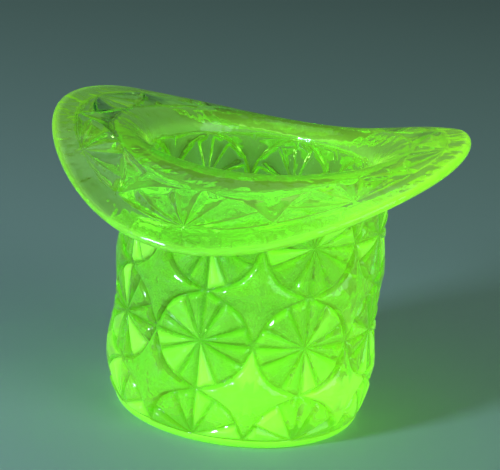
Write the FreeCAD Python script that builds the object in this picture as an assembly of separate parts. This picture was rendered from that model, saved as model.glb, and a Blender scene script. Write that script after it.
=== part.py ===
"""A top hat vase pressed in one piece of uranium glass, in millimetres.

+Z is up and the origin is the middle of the flat foot. +X points along the higher of the two
raised sides of the brim, and -Y is the side where the brim droops lowest. The one pressing is
kept as four regions that meet face to face: base, crown_wall, brim and rim_bead.
"""
import FreeCAD, Part
import math
import os

# Crown: the round body of the hat, which narrows slightly towards the brim.
CROWN_R = 32.5            # outer radius at the first full row of daisies
CROWN_R_Z = 26.2          # height of that row
CROWN_TAPER = 0.02        # radius lost per millimetre of height
BASE_THICKNESS = 5.0
FOOT_R = 29.0             # radius of the flat that the hat stands on
FOOT_HEIGHT = 11.0        # height of the rounding from that flat up into the wall
NECK_Z = 62.3             # height where the brim starts to turn outwards
NECK_WALL = 4.6           # wall thickness there
WALL_AT_BASE = 4.6
INNER_CORNER_R = 3.0      # rounding between the inside wall and the floor

# Brim: its free edge carries a plain round bead, and runs round the hat as one closed curve.
BEAD_R = 1.15
RIM_R = 49.4              # mean radius of the bead's centre line
RIM_PINCH = 1.0           # the raised sides are this much nearer than the mean
RIM_CORNERS = 0.45        # taken off halfway between the sides and the front or back
RIM_FORWARD = 2.9         # how much further the front reaches than the mean, and the back less
RIM_Z = 65.7              # mean height of the bead's centre line
RIM_FOLD = 7.9            # lift of the two raised sides, and drop of front and back
RIM_TURN = 0.85           # turns the fold round the hat a little
RIM_BACK_LIFT = 2.9       # the back stands higher than the front
RIM_SIDE_LIFT = 0.95      # the +X side stands higher than the -X side
RIM_SQUARING = 0.75       # flattens the tops of the raised sides
RIM_TWIST = 0.3           # leans those tops to one side
RIM_BACK_SAG = 3.5        # extra droop in the middle of the back
RIM_BACK_SAG_POWER = 6

# Brim section: a cubic curve from the neck, straight up at first, out to the bead.
NECK_PULL = 7.0           # length of the upward handle at the neck
NECK_PULL_FRONT = 0.8     # added to it at the front and taken off it at the back
EDGE_PULL = 8.0           # length of the handle at the bead
EDGE_SLOPE = -20.0        # mean slope of the brim at the bead, in degrees
EDGE_SLOPE_FOLD = 34.0    # added on the raised sides and taken off at front and back

SECTIONS = 36             # sections round the brim
STATIONS = 9              # points along each section
FOOT_STEPS = 6            # steps along each part of the foot's rounding


def crown_radius(z):
    """Outer radius of the crown at height z, rounded in towards the foot."""
    wall = CROWN_R - CROWN_TAPER * (max(z, FOOT_HEIGHT) - CROWN_R_Z)
    if z >= FOOT_HEIGHT:
        return wall
    return FOOT_R + (wall - FOOT_R) * math.sqrt(1 - (1 - z / FOOT_HEIGHT) ** 2)


def rim_centre(angle):
    """Radius and height of the bead's centre line at an angle round the hat."""
    radius = RIM_R - RIM_PINCH * math.cos(2 * angle) + RIM_CORNERS * math.cos(4 * angle)
    radius -= RIM_FORWARD * math.sin(angle)
    height = RIM_Z + RIM_FOLD * math.cos(2 * angle) + RIM_TURN * math.sin(2 * angle)
    height += RIM_BACK_LIFT * math.sin(angle) + RIM_SIDE_LIFT * math.cos(angle)
    height += RIM_TWIST * math.sin(4 * angle) - RIM_SQUARING * math.cos(4 * angle)
    height -= RIM_BACK_SAG * ((1 + math.sin(angle)) / 2) ** RIM_BACK_SAG_POWER
    return radius, height


def brim_middle(angle, u):
    """Radius, height and direction of the middle of the brim; u runs from neck to bead."""
    neck = (crown_radius(NECK_Z) - NECK_WALL / 2, NECK_Z)
    edge = rim_centre(angle)
    slope = math.radians(EDGE_SLOPE + EDGE_SLOPE_FOLD * math.cos(2 * angle))
    rise = NECK_PULL - NECK_PULL_FRONT * math.sin(angle)
    near_neck = (neck[0], neck[1] + rise)
    near_edge = (edge[0] - EDGE_PULL * math.cos(slope), edge[1] - EDGE_PULL * math.sin(slope))
    v = 1 - u
    place = []
    direction = []
    for a, b, c, d in zip(neck, near_neck, near_edge, edge):
        place.append(v ** 3 * a + 3 * v * v * u * b + 3 * v * u * u * c + u ** 3 * d)
        direction.append(3 * v * v * (b - a) + 6 * v * u * (c - b) + 3 * u * u * (d - c))
    length = math.hypot(*direction)
    return place, [part / length for part in direction]


def brim_point(angle, u, along, across):
    """A point of the brim's section, along and across its middle line by those distances."""
    place, direction = brim_middle(angle, u)
    radius = place[0] + along * direction[0] - across * direction[1]
    height = place[1] + along * direction[1] + across * direction[0]
    return FreeCAD.Vector(radius * math.cos(angle), radius * math.sin(angle), height)


def smooth_edge(points):
    curve = Part.BSplineCurve()
    curve.interpolate(points)
    return curve.toShape()


def brim_section(angle):
    """Closed outline of the brim at one angle: underside, outer end, upper side, neck."""
    lower = []
    upper = []
    for step in range(STATIONS):
        u = step / (STATIONS - 1)
        half = (NECK_WALL * (1 - u) + 2 * BEAD_R * u) / 2
        lower.append(brim_point(angle, u, 0, -half))
        upper.append(brim_point(angle, u, 0, half))
    outer_end = Part.makeLine(lower[-1], upper[-1])
    neck_end = Part.makeLine(upper[0], lower[0])
    return Part.Wire([smooth_edge(lower), outer_end, smooth_edge(upper[::-1]), neck_end])


def bead_section(angle):
    """Closed half-round outline of the bead, outside the brim's end."""
    low = brim_point(angle, 1, 0, -BEAD_R)
    tip = brim_point(angle, 1, BEAD_R, 0)
    high = brim_point(angle, 1, 0, BEAD_R)
    round_edge = Part.Arc(low, tip, high).toShape()
    return Part.Wire([round_edge, Part.makeLine(high, low)])


def closed_loft(section):
    """Solid ring through equal steps of a section round the hat."""
    wires = [section(2 * math.pi * step / SECTIONS) for step in range(SECTIONS)]
    return Part.makeLoft(wires, True, False, True)


def turned(edges):
    """Solid made by turning a closed outline in the XZ plane round the Z axis."""
    face = Part.Face(Part.Wire(edges))
    return face.revolve(FreeCAD.Vector(0, 0, 0), FreeCAD.Vector(0, 0, 1), 360)


def at(radius, height):
    return FreeCAD.Vector(radius, 0, height)


def foot_curve(low, high):
    """The rounding of the foot between two heights, with its points closer near the flat."""
    start = math.acos(1 - low / FOOT_HEIGHT)
    end = math.acos(1 - high / FOOT_HEIGHT)
    points = []
    for step in range(FOOT_STEPS + 1):
        z = FOOT_HEIGHT * (1 - math.cos(start + (end - start) * step / FOOT_STEPS))
        points.append(at(crown_radius(z), z))
    return smooth_edge(points)


def base():
    """Flat disc under the crown, with its edge rounded up towards the wall."""
    edge_r = crown_radius(BASE_THICKNESS)
    return turned([
        Part.makeLine(at(0, 0), at(FOOT_R, 0)),
        foot_curve(0, BASE_THICKNESS),
        Part.makeLine(at(edge_r, BASE_THICKNESS), at(0, BASE_THICKNESS)),
        Part.makeLine(at(0, BASE_THICKNESS), at(0, 0)),
    ])


def crown_wall():
    """Wall from the base to the neck, with a rounded inside corner at the floor."""
    foot = BASE_THICKNESS
    outer_foot = crown_radius(foot)
    outer_round = crown_radius(FOOT_HEIGHT)
    outer_neck = crown_radius(NECK_Z)
    inner_foot = outer_round - WALL_AT_BASE
    inner_neck = outer_neck - NECK_WALL
    corner_top = at(inner_foot, foot + INNER_CORNER_R)
    corner_end = at(inner_foot - INNER_CORNER_R, foot)
    reach = INNER_CORNER_R * (1 - math.sqrt(0.5))
    corner_middle = at(inner_foot - reach, foot + reach)
    return turned([
        Part.makeLine(corner_end, at(outer_foot, foot)),
        foot_curve(foot, FOOT_HEIGHT),
        Part.makeLine(at(outer_round, FOOT_HEIGHT), at(outer_neck, NECK_Z)),
        Part.makeLine(at(outer_neck, NECK_Z), at(inner_neck, NECK_Z)),
        Part.makeLine(at(inner_neck, NECK_Z), corner_top),
        Part.Arc(corner_top, corner_middle, corner_end).toShape(),
    ])


def main():
    nodes = {
        "base": base(),
        "crown_wall": crown_wall(),
        "brim": closed_loft(brim_section),
        "rim_bead": closed_loft(bead_section),
    }
    os.makedirs("parts", exist_ok=True)
    for name, shape in nodes.items():
        box = shape.BoundBox
        print(name, shape.ShapeType, "valid", shape.isValid(), "volume", round(shape.Volume, 1),
              "z", round(box.ZMin, 2), round(box.ZMax, 2))
        shape.exportStep("parts/" + name + ".step")


main()
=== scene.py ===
"""Looks of the uranium glass top hat: one pressed glass shape with its daisy and button pattern.

The hat is a single closed mesh, because light has to cross it as one piece of glass. Its outside
is built cell by cell on the lattice that the pattern repeats on, so that every groove lies on
mesh edges; its inside is smooth rings.
"""
import math

import bmesh
import bpy
from mathutils import Matrix, Vector, noise


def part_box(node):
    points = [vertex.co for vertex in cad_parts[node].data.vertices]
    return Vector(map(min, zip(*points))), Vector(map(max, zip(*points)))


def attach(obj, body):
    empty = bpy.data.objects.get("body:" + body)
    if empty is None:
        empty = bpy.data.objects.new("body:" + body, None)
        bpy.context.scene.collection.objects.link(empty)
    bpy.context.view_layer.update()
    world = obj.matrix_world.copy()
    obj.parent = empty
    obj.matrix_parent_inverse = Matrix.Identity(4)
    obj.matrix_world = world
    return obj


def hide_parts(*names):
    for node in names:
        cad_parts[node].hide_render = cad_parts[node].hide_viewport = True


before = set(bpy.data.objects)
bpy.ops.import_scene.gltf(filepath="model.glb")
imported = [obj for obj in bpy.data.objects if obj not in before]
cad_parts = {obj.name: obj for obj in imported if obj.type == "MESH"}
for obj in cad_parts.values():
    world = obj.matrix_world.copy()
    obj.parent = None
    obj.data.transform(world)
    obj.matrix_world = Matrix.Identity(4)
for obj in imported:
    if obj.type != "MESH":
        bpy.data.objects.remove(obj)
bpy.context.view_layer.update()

MM = 0.001
TURN = 2 * math.pi

# Crown and foot, in millimetres. Heights come from the frame.
NECK_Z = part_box("crown_wall")[1][2] / MM
FLOOR_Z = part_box("base")[1][2] / MM
CROWN_R = 32.5
CROWN_R_Z = 26.2
CROWN_TAPER = 0.02
FOOT_R = 29.0
FOOT_HEIGHT = 11.0        # height of the rounding from the foot up into the wall
NECK_WALL = 4.6
WALL_AT_BASE = 4.6
INNER_CORNER_R = 3.0

# Brim, as in the CAD model: the centre line of the bead round its edge, and its section's curve.
BEAD_R = 1.15
RIM_R = 49.4
RIM_PINCH = 1.0
RIM_CORNERS = 0.45
RIM_FORWARD = 2.9
RIM_Z = 65.7
RIM_FOLD = 7.9
RIM_TURN = 0.85
RIM_BACK_LIFT = 2.9
RIM_SIDE_LIFT = 0.95
RIM_SQUARING = 0.75
RIM_TWIST = 0.3
RIM_BACK_SAG = 3.5
RIM_BACK_SAG_POWER = 6
NECK_PULL = 7.0
NECK_PULL_FRONT = 0.8
EDGE_PULL = 8.0
EDGE_SLOPE = -20.0
EDGE_SLOPE_FOLD = 34.0

# Pattern lattice: daisies stand in eight columns, and rows are counted in row pitches.
COLUMNS = 8
ROW_PITCH = 24.1
FIRST_ROW_Z = 26.2
CROWN_TOP_ROW = 2.5
BRIM_INNER_U = 0.50       # where the brim's pattern begins, from the neck (0) to the bead (1)
BRIM_DAISY_U = 0.82       # where the brim's half daisies are centred

# One daisy and the buttons round it. Lengths are in lattice cells, heights in millimetres.
RAYS = (0, 25, 65, 90, 115, 155, 180, 205, 245, 270, 295, 335)
NODE_REACH = 0.5          # outline radius at the rays where it touches the next daisies
RAY_REACH = 0.464         # at the other rays
PETAL_REACH = 0.470       # at the middle of a petal
GROOVE_ANGLE = 7.0        # half width of a ray's groove, in degrees
GROOVE_DEPTH = 0.80       # at the outline; it grows with the radius
CHAMFER = 0.06            # width of the sloping end of a petal
PETAL_STOP = 1.1 * CHAMFER
PETAL_CENTRE = -0.65
PETAL_END = -0.45
PETAL_CROWN = 0.9         # rise of a petal's middle over its sides
OUTLINE_HEIGHT = -1.0
BUTTON_WALL = 0.026       # width of a button's steep side
BUTTON_EDGE = -0.10
BUTTON_TOP = 1.15
BUTTON_REACH = 0.237      # from a daisy's outline to the middle of a button
BUTTON_SOFTNESS = 40.0    # how sharply a button keeps to its nearest daisy
ARM_FROM = 0.16           # where a button's upper and lower arms begin, from its middle
ARM_SLOPE = 5.0           # fall of those arms, in millimetres per cell
BUTTON_KEY = 400          # keeps the tones of the buttons apart from those of the petals
ROW_KEY = 100             # tells the rows apart in the tones
BORDER_GROOVE = 0.03      # width of the groove where the pattern meets a plain band
BORDER_HEIGHT = -0.5      # height in that groove
DEEPEST = -2.0            # lower limit at the far side of that groove, where nothing is as deep

# Mesh lines of a cell, bunched where the surface turns.
GROOVE_LINES = (0.0, 0.14, 0.55, 0.93, 1.2)
PETAL_LINES = (0.28, 0.5, 0.72)
PETAL_STATIONS = (0.0, 0.04, 0.12, 0.24, 0.38, 0.52, 0.66, 0.79, 0.9, 1.0)
CHAMFER_STATIONS = (0.94, 0.5, 0.1, 0.0)
WALL_STATIONS = ((0.1, 0.08), (0.5, 0.16), (0.92, 0.26), (1.25, 0.36))
BUTTON_STATIONS = (0.5, 0.63, 0.76, 0.88, 1.0)
NODE_GAP = 0.002          # where an outline is this near its cell's border, the two are one

# Plain bands, in steps of s. A band's edge keeps EDGE_SHARE of the pattern's height.
EDGE_SHARE = 0.1
ROLL_RISE = 0.012         # from the crown's pattern to the plain roll of the brim
ROLL_START = 2 * ROLL_RISE
ROLL_FALL = 0.04          # from the roll to the brim's pattern
ROLL_END = 1.6 * ROLL_FALL
OUTER_RISE = 0.03         # from the brim's pattern to the plain band by the bead
OUTER_START = 0.05
OUTER_END = 1.97

# Rings of the smooth faces: how many steps each stretch has.
ROLL_STEPS = 12
OUTER_STEPS = 4
BEAD_STEPS = 10
BRIM_TOP_STEPS = 24
INNER_WALL_STEPS = 19
INNER_CORNER_STEPS = 6
INNER_FLOOR_STEPS = 3
FOOT_STEPS = 6
FOOT_FLAT_STEPS = 4

# Where each stretch begins, just past the ring before it, as a share of the stretch.
BRIM_TOP_START = 0.96     # in u, which falls from the bead to the neck
INNER_WALL_START = 0.05   # from the neck down
INNER_CORNER_START = math.pi / 14     # an angle, from the wall towards the floor
INNER_FLOOR_START = 0.75  # from the corner in to the middle
FOOT_FLAT_START = 0.97    # from the flat's edge in to the middle

# Distance to a groove, in millimetres, written to the mesh: near 0 the glass is darkened by painted
# shade, as in a groove, and beyond GROOVE_SHADE it is fully bright. Faces with no grooves get it
# from here.
PLAIN = 5.0               # outside faces with no pattern
BRIM_TOP_GAP = 0.18       # top of the brim, kept dim so that the pattern under it shows through
LIP_GAP = 0.35            # added at the lip, where the brim's top turns down into the hat: a painted highlight
LIP_U = 0.1
LIP_WIDTH = 0.12
BEAD_GAP = 0.55
NECK_FADE = 0.12          # share of the inside wall over which the brim's top fades out into the painted shade inside
GROOVE_SHADE = 0.95

# Glass. Lengths from here on are in metres.
BASE_COLOUR = (0.7, 1.0, 0.5, 1)
ROUGHNESS = 0.08
INDEX = 1.52
RIPPLE_SCALE = 180.0
RIPPLE_DETAIL = 2.0
RIPPLE_HEIGHT = 0.0006
ABSORPTION = 200.0
ABSORPTION_COLOUR = (0.75, 0.95, 0.3, 1)
# GLOW_COLOUR and VOLUME_GLOW are painted light: the glass glows as if under a black light, which the
# scene has no lamp for.
GLOW_COLOUR = (0.48, 1.0, 0.06, 1)
VOLUME_GLOW = 5.8

# Outer skin, which scatters green light outwards: lit by the lamps, but partly painted glow, as it
# can give back more green than it receives.
SKIN_COLOUR = (0.45, 1.0, 0.08)
SKIN = 0.87               # brightness of an open face
GROOVE_SKIN = 0.22        # the same in a groove, darkened there as painted shade
FACET_DEPTH = 0.6         # how much the petals and buttons differ from each other in painted shading

# Painted light: glow of the surface, which stands for the black light: it is fixed to the hat.
SURFACE_GLOW = 0.01
FOOT_GLOW = 0.06          # painted glow at the foot, falling to SURFACE_GLOW at this height:
FOOT_GLOW_REACH = 0.035
SIDE_GLOW = 0.085         # painted light added on the +X side, between these two places:
SIDE_GLOW_FROM = -0.01
SIDE_GLOW_FULL = 0.05
BRIM_GLOW = 0.18          # painted glow added on the brim, between these two heights:
BRIM_GLOW_FROM = 0.060
BRIM_GLOW_FULL = 0.069

# Light, dim so that the glass's painted glow shows. The lamps' lights are in watts.
WORLD_LIGHT = 0.055
WORLD_COLOUR = (0.55, 0.7, 0.78, 1)
LAMP_AIM = (0, 0, 0.04)
LAMP_SIZE = 0.8
LAMP_COLOUR = (0.72, 1.0, 0.9)
KEY_LIGHT = 4.2
KEY_SPOT = (1.1, -0.35, 0.55)
FILL_LIGHT = 0.5
FILL_SPOT = (-0.9, -0.8, 0.6)
BACK_LIGHT = 0.8
BACK_SPOT = (-0.35, 0.4, 1.2)
GLINT_LIGHT = 2.5
GLINT_SIZE = 0.10
GLINT_COLOUR = (0.55, 0.75, 1.0)
GLINT_SPOT = (-0.3, -0.55, 0.25)

# Floor, just clear of the foot.
FLOOR_COLOUR = (0.45, 0.62, 0.55, 1)
FLOOR_ROUGHNESS = 0.6
FLOOR_HALF = 3.0
FLOOR_Z_OFFSET = -0.00005

# Camera, in degrees, metres and, for the lens and sensor, millimetres.
CAMERA_AZIMUTH = 17.63
CAMERA_ELEVATION = 21.99
CAMERA_DISTANCE = 0.4142
CAMERA_TILT = -16.15
CAMERA_ROLL = -6.12
CAMERA_SWING = 0.13
CAMERA_LENS = 116.7
CAMERA_SENSOR = 36
CAMERA_NEAR = 0.01


def crown_radius(z):
    """Outer radius of the plain crown, rounded in towards the foot."""
    wall = CROWN_R - CROWN_TAPER * (max(z, FOOT_HEIGHT) - CROWN_R_Z)
    if z >= FOOT_HEIGHT:
        return wall
    return FOOT_R + (wall - FOOT_R) * math.sqrt(1 - (1 - z / FOOT_HEIGHT) ** 2)


def rim_centre(angle):
    """Radius and height of the bead's centre line."""
    radius = RIM_R - RIM_PINCH * math.cos(2 * angle) + RIM_CORNERS * math.cos(4 * angle)
    radius -= RIM_FORWARD * math.sin(angle)
    height = RIM_Z + RIM_FOLD * math.cos(2 * angle) + RIM_TURN * math.sin(2 * angle)
    height += RIM_BACK_LIFT * math.sin(angle) + RIM_SIDE_LIFT * math.cos(angle)
    height += RIM_TWIST * math.sin(4 * angle) - RIM_SQUARING * math.cos(4 * angle)
    height -= RIM_BACK_SAG * ((1 + math.sin(angle)) / 2) ** RIM_BACK_SAG_POWER
    return radius, height


def place(angle, radius, height):
    return Vector((radius * math.cos(angle), radius * math.sin(angle), height))


def brim_point(angle, u, along, across):
    """Point of the brim, off the middle of its section by those distances."""
    neck = (crown_radius(NECK_Z) - NECK_WALL / 2, NECK_Z)
    edge = rim_centre(angle)
    slope = math.radians(EDGE_SLOPE + EDGE_SLOPE_FOLD * math.cos(2 * angle))
    rise = NECK_PULL - NECK_PULL_FRONT * math.sin(angle)
    near_neck = (neck[0], neck[1] + rise)
    near_edge = (edge[0] - EDGE_PULL * math.cos(slope), edge[1] - EDGE_PULL * math.sin(slope))
    v = 1 - u
    middle = []
    way = []
    for a, b, c, d in zip(neck, near_neck, near_edge, edge):
        middle.append(v ** 3 * a + 3 * v * v * u * b + 3 * v * u * u * c + u ** 3 * d)
        way.append(3 * v * v * (b - a) + 6 * v * u * (c - b) + 3 * u * u * (d - c))
    size = math.hypot(*way)
    radius = middle[0] + (along * way[0] - across * way[1]) / size
    height = middle[1] + (along * way[1] + across * way[0]) / size
    return place(angle, radius, height)


def half_thickness(u):
    return (NECK_WALL * (1 - u) + 2 * BEAD_R * u) / 2


def outside(angle, s):
    """Point of the plain outside; s is the height over NECK_Z up to 1, then 1 plus u."""
    if s <= 1:
        return place(angle, crown_radius(s * NECK_Z), s * NECK_Z)
    return brim_point(angle, s - 1, 0, -half_thickness(s - 1))


def raised(angle, s, height):
    """Point that stands off the plain outside by a height along its normal."""
    step = 1e-3
    below = max(s - step, 0)
    around = outside(angle + step, s) - outside(angle - step, s)
    up = outside(angle, s + step) - outside(angle, below)
    return outside(angle, s) + around.cross(up).normalized() * height


def crown_s(row):
    return (FIRST_ROW_Z + (row - 1) * ROW_PITCH) / NECK_Z


def brim_s(row):
    """The brim's daisies are centred on its row 0, and its pattern begins at row -0.5."""
    return 1 + BRIM_DAISY_U + row / 0.5 * (BRIM_DAISY_U - BRIM_INNER_U)


def petal_at(angle):
    """The petal at a direction: its two rays, in degrees, and the direction in degrees."""
    degrees = math.degrees(angle) % 360
    for first, last in zip(RAYS, RAYS[1:] + (360,)):
        if degrees <= last:
            return first, last, degrees


def outline(angle):
    """Radius of a daisy's outline, which runs straight from ray to petal tip to ray."""
    first, last, degrees = petal_at(angle)
    middle = (first + last) / 2
    ray = first if degrees < middle else last
    reach = NODE_REACH if ray % 90 == 0 else RAY_REACH
    return reach + (PETAL_REACH - reach) * (degrees - ray) / (middle - ray)


def daisy_height(radius, angle, reach):
    """Height inside a daisy's outline: petals with grooves between them and sloping ends."""
    first, last, degrees = petal_at(angle)
    off = min(degrees - first, last - degrees)
    across = off / ((last - first) / 2)
    share = radius / reach
    petal = PETAL_CENTRE + (PETAL_END - PETAL_CENTRE) * share
    petal += PETAL_CROWN * share * (1 - (1 - across) ** 2)
    groove = petal - GROOVE_DEPTH * share * max(0, 1 - off / GROOVE_ANGLE)
    end_rise = PETAL_END + PETAL_CROWN - OUTLINE_HEIGHT
    end = OUTLINE_HEIGHT + end_rise * (reach - radius) / CHAMFER
    return max(OUTLINE_HEIGHT, min(groove, end))


def button_height(x, y):
    """Height of a button: a dome with a steep side along the daisies, and falling arms."""
    near = 0
    for centre_x in (-1, 0, 1):
        for centre_y in (-1, 0, 1):
            dx = x - centre_x
            dy = y - centre_y
            gap = math.hypot(dx, dy) - outline(math.atan2(dy, dx))
            near += math.exp(-BUTTON_SOFTNESS * gap)
    gap = max(0, -math.log(near) / BUTTON_SOFTNESS)
    side = OUTLINE_HEIGHT + (BUTTON_EDGE - OUTLINE_HEIGHT) * min(1, gap / BUTTON_WALL)
    dome = min(1, gap / BUTTON_REACH)
    height = side + (BUTTON_TOP - BUTTON_EDGE) * (1 - (1 - dome) ** 2)
    arm = max(0, 0.5 - abs(y) - ARM_FROM)
    return min(height, BUTTON_TOP - ARM_SLOPE * arm)


def groove_gap(x, y, borders):
    """Distance in a cell to the nearest groove, in millimetres."""
    radius = math.hypot(x, y)
    angle = math.atan2(y, x)
    reach = outline(angle)
    gap = abs(radius - reach)
    if radius < reach:
        first, last, degrees = petal_at(angle)
        off = math.radians(min(degrees - first, last - degrees))
        gap = min(gap, radius * math.sin(off))
    for border in borders:
        gap = min(gap, abs(y - border))
    return gap * ROW_PITCH


def facet_tone(x, y, column, to_s, row):
    """Random brightness from 0 to 1 of the petal or button at a place in a cell, as painted facet
    shading.
    """
    angle = math.atan2(y, x)
    if math.hypot(x, y) < outline(angle):
        first, last, degrees = petal_at(angle)
        key = (first, column, round(ROW_KEY * to_s(row)))
    else:
        corner = row + math.copysign(0.5, y)
        arm = math.copysign(1, y) if abs(y) < 0.5 - ARM_FROM else 0
        key = (BUTTON_KEY + arm, (column + (x > 0)) % COLUMNS, round(ROW_KEY * to_s(corner)))
    return noise.cell(Vector(key) + Vector((0.5, 0.5, 0.5)))


def pattern_height(x, y, borders):
    """Height of the pattern in a cell; borders are the rows where it meets a plain band."""
    radius = math.hypot(x, y)
    angle = math.atan2(y, x)
    reach = outline(angle)
    if radius <= reach + 1e-9:
        height = daisy_height(radius, angle, reach)
    else:
        height = button_height(x, y)
    for border in borders:
        share = abs(y - border) / BORDER_GROOVE
        height = min(height, BORDER_HEIGHT + (BUTTON_TOP - BORDER_HEIGHT) * share)
        height = max(height, BORDER_HEIGHT + (DEEPEST - BORDER_HEIGHT) * share)
    return height


def spokes(first, last):
    """Directions, in degrees, of the mesh lines that leave a daisy's centre."""
    found = set()
    for ray, following in zip(RAYS, RAYS[1:] + (360,)):
        found.update(ray + line * GROOVE_ANGLE for line in GROOVE_LINES)
        found.update(following - line * GROOVE_ANGLE for line in GROOVE_LINES)
        found.update(ray + line * (following - ray) for line in PETAL_LINES)
    return sorted(spoke for spoke in found if first <= spoke <= last)


def spoke_points(degrees):
    """Points along a spoke, from the daisy's centre to the border of its cell."""
    angle = math.radians(degrees)
    reach = outline(angle)
    border = 0.5 / max(abs(math.cos(angle)), abs(math.sin(angle)))
    gap = border - reach
    if gap < NODE_GAP:
        gap = 0
    radii = [station * (reach - PETAL_STOP) for station in PETAL_STATIONS]
    radii += [reach - station * CHAMFER for station in CHAMFER_STATIONS]
    for wide, share in WALL_STATIONS:
        radii.append(reach + min(wide * BUTTON_WALL, share * gap) if gap else border)
    radii += [border - (1 - station) * gap for station in BUTTON_STATIONS]
    return [(radius * math.cos(angle), radius * math.sin(angle)) for radius in radii]


class Skin:
    """Collects the points and faces of the hat, and welds points that coincide."""

    CELL = 2000            # key steps per millimetre
    SAME = 4e-4            # millimetres

    def __init__(self):
        self.points = []
        self.gaps = []
        self.tones = []
        self.faces = []
        self.known = {}

    def point(self, spot, gap=PLAIN, tone=0.5):
        """Index of the point at a spot, which may be there already."""
        key = tuple(round(part * self.CELL) for part in spot)
        for dx in (0, -1, 1):
            for dy in (0, -1, 1):
                for dz in (0, -1, 1):
                    near = self.known.get((key[0] + dx, key[1] + dy, key[2] + dz))
                    if near is not None and (self.points[near] - spot).length < self.SAME:
                        return near
        self.points.append(spot)
        self.gaps.append(gap)
        self.tones.append(tone)
        self.known[key] = len(self.points) - 1
        return len(self.points) - 1

    def face(self, *corners):
        """Face through points, without the corners that have been welded away."""
        kept = list(dict.fromkeys(corners))
        if len(kept) > 2:
            self.faces.append(kept)

    def strips(self, rings):
        """Faces between rings that follow each other and close on themselves."""
        for near, far in zip(rings, rings[1:]):
            for i in range(len(near)):
                j = (i + 1) % len(near)
                self.face(near[i], near[j], far[j], far[i])


def add_cell(skin, column, to_s, row, first, last, borders):
    """One daisy, whole or half, with the quarters of the buttons round it."""
    lines = []
    for spoke in spokes(first, last):
        line = []
        for x, y in spoke_points(spoke):
            angle = TURN * (column + x) / COLUMNS
            height = pattern_height(x, y, borders)
            spot = raised(angle, to_s(row + y), height)
            tone = facet_tone(x, y, column, to_s, row)
            line.append(skin.point(spot, groove_gap(x, y, borders), tone))
        lines.append(line)
    for line, following in zip(lines, lines[1:]):
        for i in range(len(line) - 1):
            skin.face(line[i], line[i + 1], following[i + 1], following[i])


def edge_places():
    """Places across a cell of the mesh points on its upper or lower edge."""
    return sorted(spoke_points(spoke)[-1][0] for spoke in spokes(45, 135))


def middle_places():
    """Places across a cell of the mesh points on the line through its daisy's centre."""
    half = sorted(set(round(x, 9) for x, y in spoke_points(0)))
    return [-x for x in reversed(half)] + half[1:]


def turns(places):
    """The same places in every column, as (angle, place in the column)."""
    return [(TURN * (column + x) / COLUMNS, x) for column in range(COLUMNS) for x in places[:-1]]


def band_ring(skin, around, s, border, share):
    """Ring on the plain outside, where share of the pattern's height at its border is left."""
    ring = []
    for angle, x in around:
        height = share * pattern_height(x, border, (border,))
        ring.append(skin.point(raised(angle, s, height)))
    return ring


def between(start, end, count):
    """Evenly spaced values from start to end, both included."""
    return [start + (end - start) * i / count for i in range(count + 1)]


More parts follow.
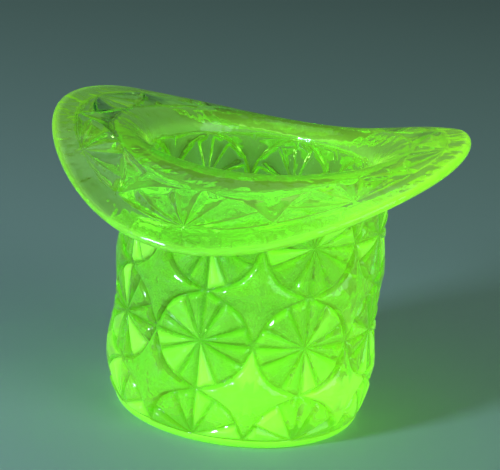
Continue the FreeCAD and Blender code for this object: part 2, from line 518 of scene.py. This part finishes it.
def build_hat():
    """The whole hat, in millimetres."""
    skin = Skin()
    for column in range(COLUMNS):
        add_cell(skin, column, crown_s, 0, 0, 180, (0,))
        add_cell(skin, column, crown_s, 1, 0, 360, ())
        add_cell(skin, column, crown_s, 2, 0, 360, (CROWN_TOP_ROW - 2,))
        add_cell(skin, column, brim_s, 0, 180, 360, (-0.5, 0))

    # Plain band round the roll of the brim, between the crown's pattern and the brim's.
    around = turns(edge_places())
    low = crown_s(CROWN_TOP_ROW)
    high = 1 + BRIM_INNER_U
    rings = [band_ring(skin, around, low, 0.5, 1.0)]
    rings.append(band_ring(skin, around, low + ROLL_RISE, 0.5, EDGE_SHARE))
    for s in between(low + ROLL_START, high - ROLL_END, ROLL_STEPS):
        rings.append(band_ring(skin, around, s, 0.5, 0.0))
    rings.append(band_ring(skin, around, high - ROLL_FALL, -0.5, EDGE_SHARE))
    rings.append(band_ring(skin, around, high, -0.5, 1.0))
    skin.strips(rings)

    # Outer part of the brim's underside, the bead, the brim's top, the inside wall and the floor.
    around = turns(middle_places())
    start = 1 + BRIM_DAISY_U
    rings = [band_ring(skin, around, start, 0, 1.0)]
    rings.append(band_ring(skin, around, start + OUTER_RISE, 0, EDGE_SHARE))
    for s in between(start + OUTER_START, OUTER_END, OUTER_STEPS):
        rings.append(band_ring(skin, around, s, 0, 0.0))
    for turn in between(-math.pi / 2, math.pi / 2, BEAD_STEPS):
        along = BEAD_R * math.cos(turn)
        across = BEAD_R * math.sin(turn)
        spots = [brim_point(angle, 1, along, across) for angle, x in around]
        rings.append([skin.point(spot, BEAD_GAP) for spot in spots])
    for u in between(BRIM_TOP_START, 0, BRIM_TOP_STEPS):
        spots = [brim_point(angle, u, 0, half_thickness(u)) for angle, x in around]
        # Painted highlight: the skin is brighter in a band along the lip.
        gap = BRIM_TOP_GAP + LIP_GAP * max(0, 1 - abs(u - LIP_U) / LIP_WIDTH)
        rings.append([skin.point(spot, gap) for spot in spots])
    inner_neck = crown_radius(NECK_Z) - NECK_WALL
    inner_foot = crown_radius(FOOT_HEIGHT) - WALL_AT_BASE
    # Inside the hat the skin gets painted shade: its gap falls to 0, as dark as in a groove.
    for share in between(INNER_WALL_START, 1, INNER_WALL_STEPS):
        radius = inner_neck + share * (inner_foot - inner_neck)
        height = NECK_Z + share * (FLOOR_Z + INNER_CORNER_R - NECK_Z)
        gap = BRIM_TOP_GAP * max(0, 1 - share / NECK_FADE)
        rings.append([skin.point(place(angle, radius, height), gap) for angle, x in around])
    for turn in between(INNER_CORNER_START, math.pi / 2, INNER_CORNER_STEPS):
        radius = inner_foot - INNER_CORNER_R * (1 - math.cos(turn))
        height = FLOOR_Z + INNER_CORNER_R * (1 - math.sin(turn))
        rings.append([skin.point(place(angle, radius, height), 0) for angle, x in around])
    for share in between(INNER_FLOOR_START, 0, INNER_FLOOR_STEPS):
        radius = share * (inner_foot - INNER_CORNER_R)
        rings.append([skin.point(place(angle, radius, FLOOR_Z), 0) for angle, x in around])
    skin.strips(rings)

    # The foot, from the lowest daisies in to the middle of its flat.
    foot = crown_s(0)
    rings = []
    for share in between(1, 0, FOOT_STEPS):
        rings.append(band_ring(skin, around, foot * share, 0, share ** 3))
    for share in between(FOOT_FLAT_START, 0, FOOT_FLAT_STEPS):
        rings.append([skin.point(place(angle, share * FOOT_R, 0)) for angle, x in around])
    skin.strips(rings)
    return skin


def mesh_object(name, skin):
    """Blender object of a skin, with its groove gaps and facet tones as attributes."""
    mesh = bpy.data.meshes.new(name)
    mesh.from_pydata([tuple(point * MM) for point in skin.points], [], skin.faces)
    work = bmesh.new()
    work.from_mesh(mesh)
    bmesh.ops.recalc_face_normals(work, faces=work.faces)
    work.to_mesh(mesh)
    work.free()
    mesh.shade_smooth()
    for label, values in (("groove_gap", skin.gaps), ("facet_tone", skin.tones)):
        attribute = mesh.attributes.new(label, "FLOAT", "POINT")
        attribute.data.foreach_set("value", values)
    made = bpy.data.objects.new(name, mesh)
    bpy.context.scene.collection.objects.link(made)
    return made


def add(tree, kind, sockets=None, **settings):
    """New node with its settings made, and its inputs set or linked."""
    made = tree.nodes.new(kind)
    for name, value in settings.items():
        setattr(made, name, value)
    for name, value in (sockets or {}).items():
        if isinstance(value, bpy.types.NodeSocket):
            tree.links.new(value, made.inputs[name])
        else:
            made.inputs[name].default_value = value
    return made


def uranium_glass():
    """Clear green glass with painted glow that stands for a black light: it glows inside, at its
    surface and in its skin.
    """
    material = bpy.data.materials.new("uranium_glass_glow")
    material.use_nodes = True
    tree = material.node_tree
    tree.nodes.clear()
    where = add(tree, "ShaderNodeTexCoord").outputs["Object"]

    # Fire-polished glass is gently rippled.
    ripple = add(tree, "ShaderNodeTexNoise",
                 {"Vector": where, "Scale": RIPPLE_SCALE, "Detail": RIPPLE_DETAIL})
    bump = add(tree, "ShaderNodeBump", {"Height": ripple.outputs["Fac"], "Distance": RIPPLE_HEIGHT})
    normal = bump.outputs["Normal"]

    # Painted shade: the skin is darker in the grooves, and each petal and button gets its own share
    # of painted shading.
    gap = add(tree, "ShaderNodeAttribute", attribute_name="groove_gap").outputs["Fac"]
    tone = add(tree, "ShaderNodeAttribute", attribute_name="facet_tone").outputs["Fac"]
    open_face = add(tree, "ShaderNodeMapRange", {"Value": gap, "From Max": GROOVE_SHADE},
                    interpolation_type="SMOOTHSTEP").outputs["Result"]

    # Painted light: the surface glows more towards the thick foot, on the side of the key lamp, and
    # on the brim.
    part = add(tree, "ShaderNodeSeparateXYZ", {"Vector": where}).outputs
    low = add(tree, "ShaderNodeMapRange",
              {"Value": part["Z"], "From Max": FOOT_GLOW_REACH, "To Min": FOOT_GLOW,
               "To Max": SURFACE_GLOW},
              interpolation_type="SMOOTHSTEP").outputs["Result"]
    lamp_side_painted_glow = add(tree, "ShaderNodeMapRange",
                    {"Value": part["X"], "From Min": SIDE_GLOW_FROM, "From Max": SIDE_GLOW_FULL,
                     "To Max": SIDE_GLOW},
                    interpolation_type="SMOOTHSTEP").outputs["Result"]
    brim_painted_glow = add(tree, "ShaderNodeMapRange",
                  {"Value": part["Z"], "From Min": BRIM_GLOW_FROM, "From Max": BRIM_GLOW_FULL,
                   "To Max": BRIM_GLOW},
                  interpolation_type="SMOOTHSTEP").outputs["Result"]
    by_face = add(tree, "ShaderNodeMath", {0: brim_painted_glow, 1: open_face},
                  operation="MULTIPLY").outputs[0]
    by_facet = add(tree, "ShaderNodeMath", {0: by_face, 1: tone, 2: low},
                   operation="MULTIPLY_ADD").outputs[0]
    surface_painted_light = add(tree, "ShaderNodeMath", {0: by_facet, 1: lamp_side_painted_glow}, operation="ADD").outputs[0]
    surface = add(tree, "ShaderNodeBsdfPrincipled",
                  {"Base Color": BASE_COLOUR, "Roughness": ROUGHNESS, "IOR": INDEX,
                   "Transmission Weight": 1.0, "Emission Color": GLOW_COLOUR,
                   "Emission Strength": surface_painted_light, "Normal": normal})

    # The skin is seen from outside the glass only, so the far face of a wall stays clear.
    side = add(tree, "ShaderNodeNewGeometry").outputs["Backfacing"]
    outer = add(tree, "ShaderNodeMath", {0: 1.0, 1: side}, operation="SUBTRACT").outputs[0]
    bright = add(tree, "ShaderNodeMapRange",
                 {"Value": open_face, "To Min": GROOVE_SKIN, "To Max": SKIN})
    uneven = add(tree, "ShaderNodeMapRange",
                 {"Value": tone, "To Min": 1 - FACET_DEPTH, "To Max": 1 + FACET_DEPTH})
    faceted = add(tree, "ShaderNodeMath", {0: bright.outputs["Result"], 1: uneven.outputs["Result"]},
                 operation="MULTIPLY").outputs[0]
    lit = add(tree, "ShaderNodeMath", {0: faceted, 1: outer}, operation="MULTIPLY")
    tint = add(tree, "ShaderNodeVectorMath", {0: SKIN_COLOUR, "Scale": lit.outputs[0]},
               operation="SCALE")
    skin = add(tree, "ShaderNodeBsdfDiffuse", {"Color": tint.outputs[0], "Normal": normal})
    whole = add(tree, "ShaderNodeAddShader", {0: surface.outputs[0], 1: skin.outputs[0]})

    # Inside the glass: absorption tints it, and painted glow fills it.
    absorption = add(tree, "ShaderNodeVolumeAbsorption",
                     {"Color": ABSORPTION_COLOUR, "Density": ABSORPTION})
    glow = add(tree, "ShaderNodeEmission", {"Color": GLOW_COLOUR, "Strength": VOLUME_GLOW})
    both = add(tree, "ShaderNodeAddShader", {0: absorption.outputs[0], 1: glow.outputs[0]})
    add(tree, "ShaderNodeOutputMaterial", {"Surface": whole.outputs[0], "Volume": both.outputs[0]})
    material.cycles.emission_sampling = "NONE"
    return material


def pale_floor():
    """Plain pale floor."""
    mesh = bpy.data.meshes.new("floor")
    half = FLOOR_HALF
    corners = [(-half, -half, 0), (half, -half, 0), (half, half, 0), (-half, half, 0)]
    mesh.from_pydata(corners, [], [(0, 1, 2, 3)])
    floor = bpy.data.objects.new("floor", mesh)
    floor.location.z = FLOOR_Z_OFFSET
    bpy.context.scene.collection.objects.link(floor)
    material = bpy.data.materials.new("pale_floor")
    material.use_nodes = True
    paint = material.node_tree.nodes["Principled BSDF"]
    paint.inputs["Base Color"].default_value = FLOOR_COLOUR
    paint.inputs["Roughness"].default_value = FLOOR_ROUGHNESS
    mesh.materials.append(material)


def soft_lamp(name, size, power, colour, spot):
    """Square area lamp that points at the middle of the hat."""
    lamp = bpy.data.lights.new(name, "AREA")
    lamp.shape = "SQUARE"
    lamp.size = size
    lamp.energy = power
    lamp.color = colour
    made = bpy.data.objects.new(name, lamp)
    made.location = spot
    made.rotation_euler = (Vector(LAMP_AIM) - Vector(spot)).to_track_quat("-Z", "Y").to_euler()
    bpy.context.scene.collection.objects.link(made)


def studio():
    """Soft dim light all round, three large lamps and a small one for the glints."""
    world = bpy.data.worlds.new("studio")
    world.use_nodes = True
    background = world.node_tree.nodes["Background"]
    background.inputs["Color"].default_value = WORLD_COLOUR
    background.inputs["Strength"].default_value = WORLD_LIGHT
    bpy.context.scene.world = world
    soft_lamp("key", LAMP_SIZE, KEY_LIGHT, LAMP_COLOUR, KEY_SPOT)
    soft_lamp("fill", LAMP_SIZE, FILL_LIGHT, LAMP_COLOUR, FILL_SPOT)
    soft_lamp("back", LAMP_SIZE, BACK_LIGHT, LAMP_COLOUR, BACK_SPOT)
    soft_lamp("glint", GLINT_SIZE, GLINT_LIGHT, GLINT_COLOUR, GLINT_SPOT)


def camera():
    """Camera at the photograph's viewing angle."""
    azimuth = math.radians(CAMERA_AZIMUTH)
    elevation = math.radians(CAMERA_ELEVATION)
    tilt = math.radians(CAMERA_TILT)
    roll = math.radians(CAMERA_ROLL)
    swing = math.radians(CAMERA_SWING)
    view = bpy.data.cameras.new("camera")
    view.lens = CAMERA_LENS
    view.sensor_width = CAMERA_SENSOR
    view.clip_start = CAMERA_NEAR
    made = bpy.data.objects.new("camera", view)
    spot = Matrix.Rotation(azimuth, 4, "Z") @ Vector(
        (0, -CAMERA_DISTANCE * math.cos(elevation), CAMERA_DISTANCE * math.sin(elevation)))
    made.matrix_world = (Matrix.Translation(spot) @ Matrix.Rotation(azimuth + swing, 4, "Z")
                         @ Matrix.Rotation(tilt, 4, "X") @ Matrix.Rotation(roll, 4, "Y")
                         @ Matrix.Rotation(math.radians(90), 4, "X"))
    bpy.context.scene.collection.objects.link(made)
    bpy.context.scene.camera = made


camera()
studio()
pale_floor()
hat = mesh_object("hat_glass", build_hat())
hat.data.materials.append(uranium_glass())
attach(hat, "root")
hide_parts("base", "crown_wall", "brim", "rim_bead")
bpy.context.scene.view_settings.view_transform = "Standard"
